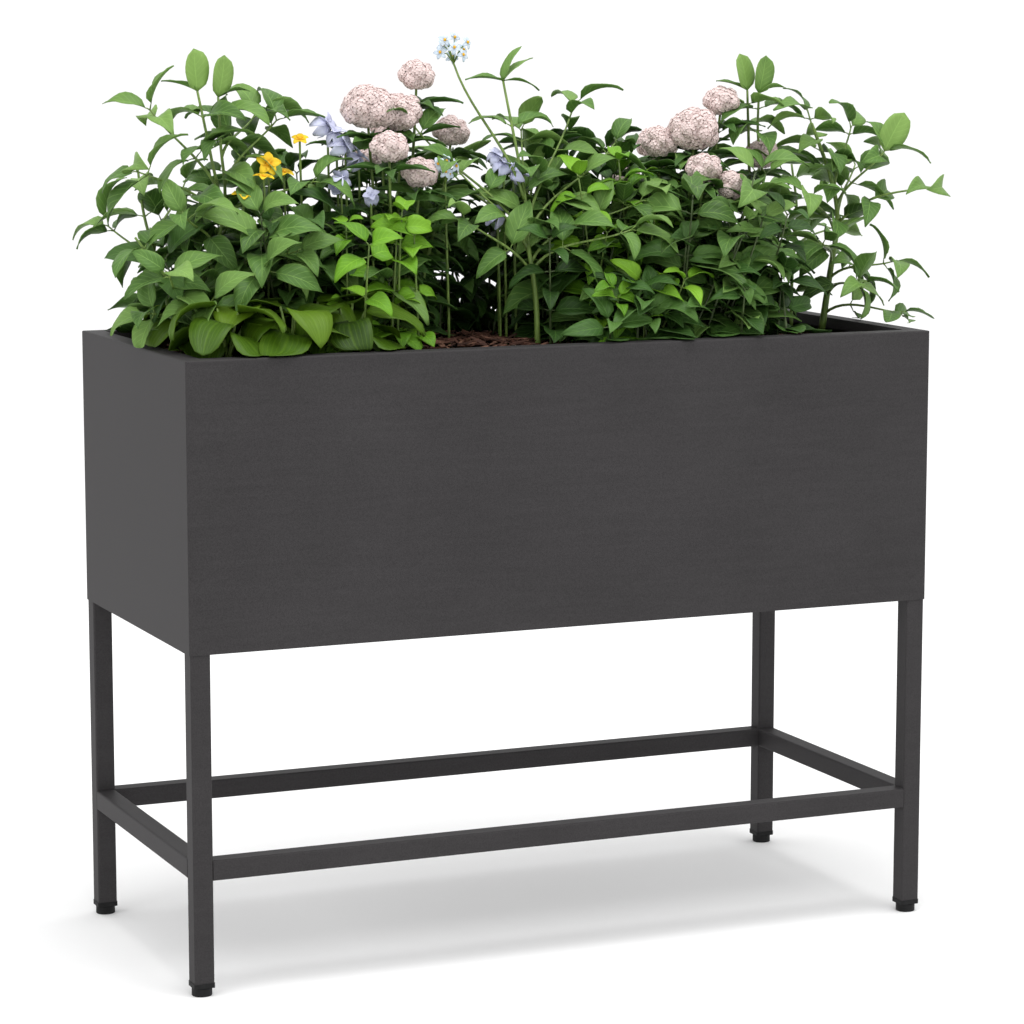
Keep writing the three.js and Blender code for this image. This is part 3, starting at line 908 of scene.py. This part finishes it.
def grow_thickets(name, seed, rows):
    plant = Plant(name, seed)
    for row in rows:
        thicket(plant, *row)
    return plant


def grow_broad_leaves():
    """Rosettes of broad ribbed leaves behind the front rim, at the left."""
    plant = Plant("broad_leaf_clump_left", 26)
    rng = plant.rng
    hearts = [
        (0.04, 0.5), (0.18, 0.8), (0.3, 0.46), (0.44, 0.8), (0.56, 0.48), (0.02, 1.05), (0.6, 1.05),
    ]
    for fx, fy in hearts:
        heart = in_box("broad_leaf_clump_left", fx, fy, 0)
        turn = rng.uniform(0.0, TURN)
        for i in range(8):
            out = heading(turn + i * GOLDEN_ANGLE, 0.0)
            foot = heart + out * (0.01 + 0.002 * i) + UP * (0.056 - 0.004 * i)
            curve = branch_path(heart, UP, foot, -0.2)
            plant.stem(curve, 0.0018, 0.0013, 6)
            size = rng.uniform(0.06, 0.078)
            plant.leaf(foot, out + UP * (0.3 - 0.08 * i), size, "broad", "broad_leaf", 0.62 - 0.03 * i)
    return plant


grow_shrub_left().finish(replaces=("shrub_left",))
grow_shrub_right().finish(replaces=("shrub_right",))
grow_tall_plant().finish(replaces=("tall_plant_middle",))
grow_thickets("undergrowth_front", 24, FRONT_UNDERGROWTH).finish(
    replaces=("low_clump_middle", "low_clump_right"), stem_look="woody_stem",
)
grow_thickets("undergrowth_back", 27, BACK_UNDERGROWTH).finish(stem_look="woody_stem")
grow_thickets("lime_climber", 25, LIME_CLIMBER).finish()
grow_broad_leaves().finish(replaces=("broad_leaf_clump_left",))


# ------ flower heads
FLORET_POINTS = 10
FLORET_RADIUS = 0.0019
FLORET_NOTCH = 0.74
FLORET_SPACING = 0.0024
FLORET_SINK = 0.0003
FLORET_STAND_OUT = 0.001
# The middle dome's radius, as a share of the head's, and how much radius there is for each small dome.
MIDDLE_DOME = 0.7
RADIUS_PER_DOME = 0.0013


def floret_shape():
    """A closed five-petalled button: a middle, a rim of petal tips and notches, and an underside."""
    turn = np.linspace(0.0, TURN, FLORET_POINTS, endpoint=False)
    reach = np.where(np.arange(FLORET_POINTS) % 2 == 0, 1.0, FLORET_NOTCH)
    rim = np.stack([np.cos(turn) * reach, np.sin(turn) * reach, 0.35 * reach], -1)
    return np.concatenate([[[0.0, 0.0, 0.1]], rim, [[0.0, 0.0, -0.75]]])


def floret_faces():
    k = np.arange(FLORET_POINTS)
    n = (k + 1) % FLORET_POINTS
    return np.concatenate([fan(0, k + 1, n + 1), fan(FLORET_POINTS + 1, n + 1, k + 1)])


def even_directions(count):
    """Directions spread evenly over a ball, from its top down."""
    i = np.arange(count) + 0.5
    height = 1.0 - 2.0 * i / count
    turn = i * GOLDEN_ANGLE
    level = np.sqrt(1.0 - height ** 2)
    return np.stack([level * np.cos(turn), level * np.sin(turn), height], -1)


def add_florets(builder, spots, normals, rng):
    """A floret at each spot, facing along its normal and turned at random."""
    shape, faces = floret_shape(), floret_faces()
    for spot, normal in zip(spots, normals):
        axes = frame_of(np.cross(normal, rng.normal(0.0, 1.0, 3)), normal)
        points = spot + shape * FLORET_RADIUS * rng.uniform(0.85, 1.15) @ axes.T
        uvs = np.stack([np.full(len(shape), 0.5), np.linalg.norm(shape[:, :2], axis=1)], -1)
        builder.add(points, uvs, float(np.clip(rng.normal(0.3, 0.25), 0.0, 1.0)), triangles=faces)


def grow_flower_head(plant, centre, radius):
    """A lumpy dome: small domes over a middle one, all closely set with florets."""
    rng = plant.rng
    flatten = np.array([1.0, 1.0, 0.8])
    lumps = [(centre, radius * MIDDLE_DOME)]
    for out in even_directions(int(round(radius / RADIUS_PER_DOME))):
        if out[2] > -0.45:
            middle = centre + out * flatten * radius * rng.uniform(0.58, 0.66)
            lumps.append((middle, radius * rng.uniform(0.29, 0.36)))
    for middle, size in lumps:
        add_ball(plant.cores, middle, size * 0.95, rng, 0.4, rows=6, columns=10)
        count = int(4.0 * math.pi * size ** 2 / FLORET_SPACING ** 2)
        normals = even_directions(count) + rng.normal(0.0, 0.05, (count, 3))
        normals /= np.linalg.norm(normals, axis=1)[:, None]
        stand_out = rng.uniform(-FLORET_SINK, FLORET_STAND_OUT, (count, 1))
        spots = middle + normals * (size + stand_out)
        free = spots[:, 2] > centre[2] - radius * 0.62
        for other, other_size in lumps:
            if other is not middle:
                free &= np.linalg.norm(spots - other, axis=1) > other_size * 0.96
        add_florets(plant.petals, spots[free], normals[free], rng)


def grow_flowering_shrub(node, seed, heads):
    """A shrub whose stems end in domed heads: (place in its box, radius)."""
    plant = Plant(node, seed)
    plant.petals, plant.cores = Builder(), Builder()
    style = Style("narrow", "dark_leaf", 0.05, 0.026, 0.62, 0.35)
    for i, (place, radius) in enumerate(heads):
        centre = in_box(node, *place)
        foot = in_box(node, 0.5 + 0.3 * (place[0] - 0.5), 0.5 + 0.3 * (place[1] - 0.5), 0)
        under = centre - UP * radius * 0.4
        curve = branch_path(foot, UP, under, 0.6)
        plant.stem(curve, 0.0024, 0.0013)
        plant.dress(curve, style, 0.3, tip_pair=False)
        grow_flower_head(plant, centre, radius)
        collar, _ = along(curve, 0.92)
        for k in range(5):
            out = heading(i + k * TURN / 5, 0.3)
            plant.leaf(collar, out, 0.05, "narrow", "dark_leaf", 0.62)
    plant.finish(replaces=(node,))
    plant.petals.build(f"{node}_blossoms", "blossom", "petals", smooth=False)
    plant.cores.build(f"{node}_flower_cores", "flower_core", "petals")


BIG_HEAD, MIDDLE_HEAD, SMALL_HEAD = 0.029, 0.025, 0.02
grow_flowering_shrub("flowering_shrub_left", 31, [
    ((0.32, 0.46, 0.84), BIG_HEAD), ((0.52, 0.48, 0.82), MIDDLE_HEAD), ((0.66, 0.54, 0.95), SMALL_HEAD),
    ((0.35, 0.3, 0.71), SMALL_HEAD), ((0.54, 0.32, 0.62), SMALL_HEAD), ((0.92, 0.62, 0.75), SMALL_HEAD),
    ((0.6, 0.86, 0.66), MIDDLE_HEAD), ((0.7, 0.9, 0.76), SMALL_HEAD),
])
grow_flowering_shrub("flowering_shrub_right", 32, [
    ((0.67, 0.46, 0.81), BIG_HEAD), ((0.4, 0.52, 0.76), SMALL_HEAD), ((1.0, 0.52, 0.92), SMALL_HEAD),
    ((0.56, 0.28, 0.67), SMALL_HEAD), ((0.8, 0.26, 0.6), SMALL_HEAD), ((1.4, 0.52, 0.71), SMALL_HEAD),
    ((0.85, 0.92, 0.74), MIDDLE_HEAD), ((0.45, 0.88, 0.62), SMALL_HEAD),
])


# ------ small flowers
# How far the stalks in a spray of small flowers start below its middle.
SPRAY_STALK = 0.016
PETAL_THICKNESS = 0.0003
# Each flower's place in the box of the left shrub, its size, and how far it leans from facing up.
YELLOW_FLOWERS = [
    ((0.82, 0.4, 0.64), 0.013, 1.1), ((0.96, 0.42, 0.72), 0.009, 0.6),
    ((0.7, 0.36, 0.54), 0.012, 0.3), ((0.78, 0.34, 0.6), 0.011, 0.2),
    ((0.9, 0.44, 0.61), 0.011, 0.3), ((0.86, 0.3, 0.4), 0.01, 0.5),
]
# Places in the box of the left flowering shrub.
LAVENDER_FLOWERS = [
    (0.07, 0.44, 0.79), (0.11, 0.42, 0.76), (0.15, 0.4, 0.72), (0.24, 0.42, 0.68),
    (1.04, 0.38, 0.68), (1.07, 0.36, 0.65), (1.13, 0.36, 0.62), (1.02, 0.34, 0.48),
    (0.1, 0.36, 0.6), (0.24, 0.3, 0.55), (0.55, 0.7, 0.72),
]


def add_petal(builder, spot, forward, face_up, length, width, tone, droop=0.3):
    """One larger petal: an oval sheet, cupped and drooping."""
    rows, columns = 5, 4
    v = np.linspace(0.0, 1.0, rows)[:, None]
    u = np.linspace(-1.0, 1.0, columns)[None, :]
    half = width / 2 * np.sin(np.pi * (0.12 + 0.8 * v))
    cup = u ** 2 * half * 0.35
    shape = grid_points(u * half, v * length * np.cos(droop * v), cup - np.sin(droop * v) * v * length)
    uvs = np.stack([(u + 1.0) / 2 + 0.0 * v, v + 0.0 * u], -1).reshape(-1, 2)
    placed = keep_clear(spot + shape @ frame_of(forward, face_up).T)
    builder.add(placed, uvs, tone, grid_faces(rows, columns))


class SmallFlowers(Plant):
    """Yellow, lavender and pale blue flowers on thin stems among the shrubs."""

    def __init__(self):
        super().__init__("small_flower", 41)
        self.petals = {colour: Builder() for colour in ("yellow", "lavender", "pale_blue")}
        self.eyes = Builder()

    def stalk(self, head, radius=0.0012):
        foot = np.array([head[0] + 0.012, head[1] + 0.02, BED_TOP])
        self.stem(branch_path(foot, UP, head, 0.4), radius * 1.4, radius, 5)

    def ring(self, colour, head, facing, count, length, width, open_by, droop=0.3):
        """Petals round the direction that the flower faces; open_by 0 is flat, more is a deeper cup."""
        side = unit(np.cross(facing, [0.2, 0.1, 1.0]))
        other = np.cross(facing, side)
        turn = self.rng.uniform(0.0, TURN)
        for k in range(count):
            angle = turn + k * TURN / count + self.rng.normal(0.0, 0.1)
            out = math.cos(angle) * side + math.sin(angle) * other + facing * open_by
            tone = self.rng.uniform(0.0, 0.6)
            add_petal(self.petals[colour], head, out, facing, length, width, tone, droop)

    def yellow_flower(self, head, size, tilt):
        """tilt: the angle it leans from facing up towards the front."""
        self.stalk(head)
        facing = unit(np.array([0.15 * self.rng.normal(), -math.sin(tilt), math.cos(tilt)]))
        self.ring("yellow", head, facing, 5, size, size * 0.78, 0.3)
        add_ball(self.eyes, head + facing * 0.001, size * 0.18, self.rng)

    def lavender_flower(self, head):
        """A drooping flower with a loose inner ring of petals, tilted its own way."""
        self.stalk(head)
        facing = unit(UP + self.rng.normal(0.0, 0.45, 3) + FRONT * 0.4)
        size = self.rng.uniform(0.8, 1.15)
        self.ring("lavender", head, facing, 5, 0.016 * size, 0.012 * size, -0.2, droop=0.9)
        self.ring("lavender", head, facing, 4, 0.011 * size, 0.009 * size, 0.7, droop=0.3)

    def blue_spray(self, top, count, spread):
        """Small starry flowers with yellow middles, on stalks from one point."""
        for out in even_directions(count):
            head = top + out * np.array([spread, spread * 0.6, spread * 0.7])
            stalk = [top - UP * SPRAY_STALK, (top + head) / 2 - UP * 0.004, head]
            self.stem(np.array(stalk), 0.0007, 0.0006, 4)
            facing = unit(np.array([out[0] * 0.6, -0.9, 0.25]))
            self.ring("pale_blue", head, facing, 5, 0.0075, 0.0048, 0.1)
            add_ball(self.eyes, head + facing * 0.0012, 0.0016, self.rng, rows=4, columns=8)

    def grow(self):
        for place, size, tilt in YELLOW_FLOWERS:
            self.yellow_flower(in_box("shrub_left", *place), size, tilt)
        for place in LAVENDER_FLOWERS:
            self.lavender_flower(in_box("flowering_shrub_left", *place))
        top_spray = in_box("flowering_shrub_left", 0.86, 0.5, 1.05)
        fork = in_box("tall_plant_middle", 0.17, 0.37, 0.47)
        self.stem(branch_path(fork, UP, top_spray - UP * SPRAY_STALK, 0.5), 0.0017, 0.0011)
        self.blue_spray(top_spray, 9, 0.016)
        low_spray = in_box("flowering_shrub_left", 0.68, 0.3, 0.64)
        self.stalk(low_spray - UP * SPRAY_STALK)
        self.blue_spray(low_spray, 6, 0.011)

    def finish(self):
        self.stems.build("small_flower_stems", "stem", "foliage")
        for colour, builder in self.petals.items():
            builder.build(f"{colour}_petals", f"{colour}_petal", "petals", thickness=PETAL_THICKNESS)
        self.eyes.build("flower_eyes", "yellow_petal", "petals")


SMALL_FLOWERS = SmallFlowers()
SMALL_FLOWERS.grow()
SMALL_FLOWERS.finish()


# ------ compost and bark
LUMP_SCALE = 38.0
LUMP_DEPTH = 0.006
CHIP_SHAPES = 14
CHIP_COUNT = 2200
CHIP_LENGTHS = (0.01, 0.03)
CHIP_MARGIN = 0.014
# The loose chips lie this much deeper than the bark's top; the layer under them ends there.
CHIP_LAYER = 0.003


def lumpy_block(name, low, high, cell, replaces, flat_side):
    """A block with its faces broken up by noise, never reaching outside its two corners.

    flat_side is 1 where the top stays flat and -1 where the bottom does, to meet the other block.
    """
    size = high - low
    counts = [max(2, int(round(s / cell))) for s in size]
    mesh = bpy.data.meshes.new(name)
    bm = bmesh.new()
    bmesh.ops.create_cube(bm, size=1.0)
    for axis in range(3):
        edges = [e for e in bm.edges if abs((e.verts[0].co - e.verts[1].co).normalized()[axis]) > 0.9]
        bmesh.ops.subdivide_edges(bm, edges=edges, cuts=counts[axis] - 1, use_grid_fill=True)
    centre = Vector((low + high) / 2)
    for vert in bm.verts:
        spot = Vector([vert.co[i] * size[i] for i in range(3)])
        on_face = [abs(co) > 0.499 for co in vert.co]
        inward = Vector([-math.copysign(1.0, spot[i]) * on_face[i] for i in range(3)])
        if vert.co.z * flat_side > 0.0:
            inward.z = 0.0
        lump = noise.fractal((centre + spot) * LUMP_SCALE, 0.8, 2.0, 4) * 0.5 + 0.5
        vert.co = centre + spot + inward * LUMP_DEPTH * min(1.0, max(0.0, lump))
    bm.to_mesh(mesh)
    bm.free()
    for polygon in mesh.polygons:
        polygon.use_smooth = True
    add_piece(mesh, "compost", (replaces,))


def chip_shape(rng):
    """A splintery bark chip of length 1: the hull of a few points in a flat sliver."""
    bm = bmesh.new()
    for _ in range(16):
        x, y, z = rng.uniform(-0.5, 0.5, 3)
        taper = 1.0 - 0.55 * abs(x) * 2.0
        bm.verts.new((x, y * 0.24 * taper, z * 0.14))
    bmesh.ops.convex_hull(bm, input=bm.verts)
    loose = [v for v in bm.verts if not v.link_faces]
    bmesh.ops.delete(bm, geom=loose, context="VERTS")
    bmesh.ops.triangulate(bm, faces=bm.faces)
    bm.verts.index_update()
    points = np.array([v.co for v in bm.verts])
    faces = np.array([[v.index for v in f.verts] for f in bm.faces])
    bm.free()
    return points, faces


def scatter_bark():
    rng = np.random.default_rng(51)
    shapes = [chip_shape(rng) for _ in range(CHIP_SHAPES)]
    chips = Builder()
    for _ in range(CHIP_COUNT):
        points, faces = shapes[rng.integers(len(shapes))]
        length = rng.uniform(*CHIP_LENGTHS)
        spot = np.array([
            rng.uniform(BED_LOW[0] + CHIP_MARGIN, BED_HIGH[0] - CHIP_MARGIN),
            rng.uniform(BED_LOW[1] + CHIP_MARGIN, BED_HIGH[1] - CHIP_MARGIN),
            BED_TOP - CHIP_LAYER + rng.uniform(0.0, 0.005),
        ])
        spot[2] += heap_height(spot[0], spot[1])
        forward = heading(rng.uniform(0.0, TURN), rng.normal(0.0, 0.22))
        axes = frame_of(forward, UP + rng.normal(0.0, 0.25, 3))
        lengthwise = points[:, [1, 0, 2]] * length
        tone = float(rng.uniform(0.0, 1.0))
        chips.add(spot + lengthwise @ axes.T, np.zeros((len(points), 2)), tone, triangles=faces)
    chips.build("bark_chips", "bark", "bark", smooth=False)


COMPOST_LOW, COMPOST_HIGH = (np.array(corner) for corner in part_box("compost"))
BARK_LAYER_HIGH = BED_HIGH - UP * CHIP_LAYER
lumpy_block("compost_block", COMPOST_LOW, COMPOST_HIGH, 0.012, "compost", 1)
lumpy_block("bark_layer", BED_LOW, BARK_LAYER_HIGH, 0.01, "bark_mulch", -1)
scatter_bark()


# ------ the feet's threaded studs
STUD_PITCH = 0.00125
THREAD_DEPTH = 0.0007


def threaded_stud(name, body):
    """An M8 thread in place of the plain CAD stud: a ridge that winds once round in each pitch."""
    low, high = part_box(name)
    outer = (high.x - low.x) / 2
    centre = np.array([(low.x + high.x) / 2, (low.y + high.y) / 2, 0.0])
    around, per_pitch = 24, 8
    rows = int((high.z - low.z) / STUD_PITCH * per_pitch) + 1
    height = np.linspace(low.z, high.z, rows)[:, None]
    turn = np.linspace(0.0, TURN, around, endpoint=False)[None, :]
    phase = (height / STUD_PITCH - turn / TURN) % 1.0
    end_bevel = np.minimum(1.0, np.minimum(height - low.z, high.z - height) / (2.0 * THREAD_DEPTH))
    ridge = 1.0 - np.abs(2.0 * phase - 1.0)
    radius = outer - THREAD_DEPTH * (1.0 - ridge * end_bevel)
    ring_points = grid_points(radius * np.cos(turn), radius * np.sin(turn), height)
    ends = np.array([[0.0, 0.0, low.z], [0.0, 0.0, high.z]])
    points = np.concatenate([ring_points, ends]) + centre
    builder = Builder()
    faces = grid_faces(rows, around, closed=True)
    builder.add(points, np.zeros((len(points), 2)), 0.5, faces, cap_faces(rows, around))
    builder.build(name + "_thread", "zinc_steel", "zinc_steel", replaces=(name,), body=body)


def thread_the_studs():
    for body, nodes in frame["record"]["behaviour"]["bodies"].items():
        for node in nodes:
            if node.startswith("foot_stud"):
                threaded_stud(node, body)


thread_the_studs()


# ------ sizes, and the end
def corners(bounds):
    return [[round(float(x), 5) for x in corner] for corner in bounds]
